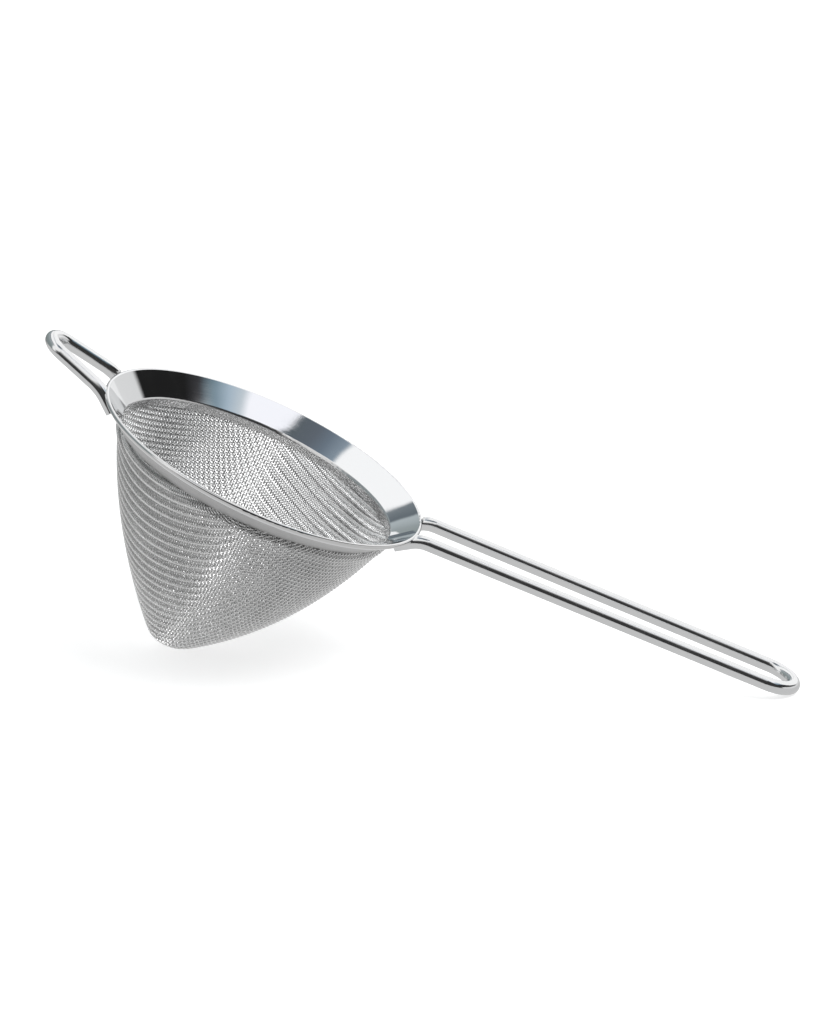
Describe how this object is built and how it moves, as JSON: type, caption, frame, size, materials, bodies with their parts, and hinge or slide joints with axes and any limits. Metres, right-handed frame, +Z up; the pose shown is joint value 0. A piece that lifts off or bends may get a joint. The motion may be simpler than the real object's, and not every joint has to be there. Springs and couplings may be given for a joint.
{
  "type": "tea strainer",
  "caption": "Conical fine-mesh tea strainer with a polished hemmed rim, a long hairpin wire handle and a short wire ear for resting across a cup.",
  "frame": {"origin": "centre of the bounding box's underside, on the table the strainer rests on", "axes": "+Z up from the table, +X towards the handle's end in plan, +Y to the left of the handle. The rim's own axis is tipped 23.0 degrees from +Z towards +X"},
  "size_m": [0.1892, 0.085, 0.0794],
  "materials": {
    "polished_rim": "mirror-polished stainless steel",
    "satin_ring": "satin stainless steel",
    "wire_cloth": "woven bright stainless wire",
    "handle_wire": "polished stainless wire",
    "ear_wire": "polished stainless wire"
  },
  "bodies": {
    "root": {"rim_flange": "polished_rim", "backing_ring": "satin_ring", "mesh_basket": "wire_cloth", "long_handle": "handle_wire", "cup_rest_ear": "ear_wire"}
  },
  "joints": []
}
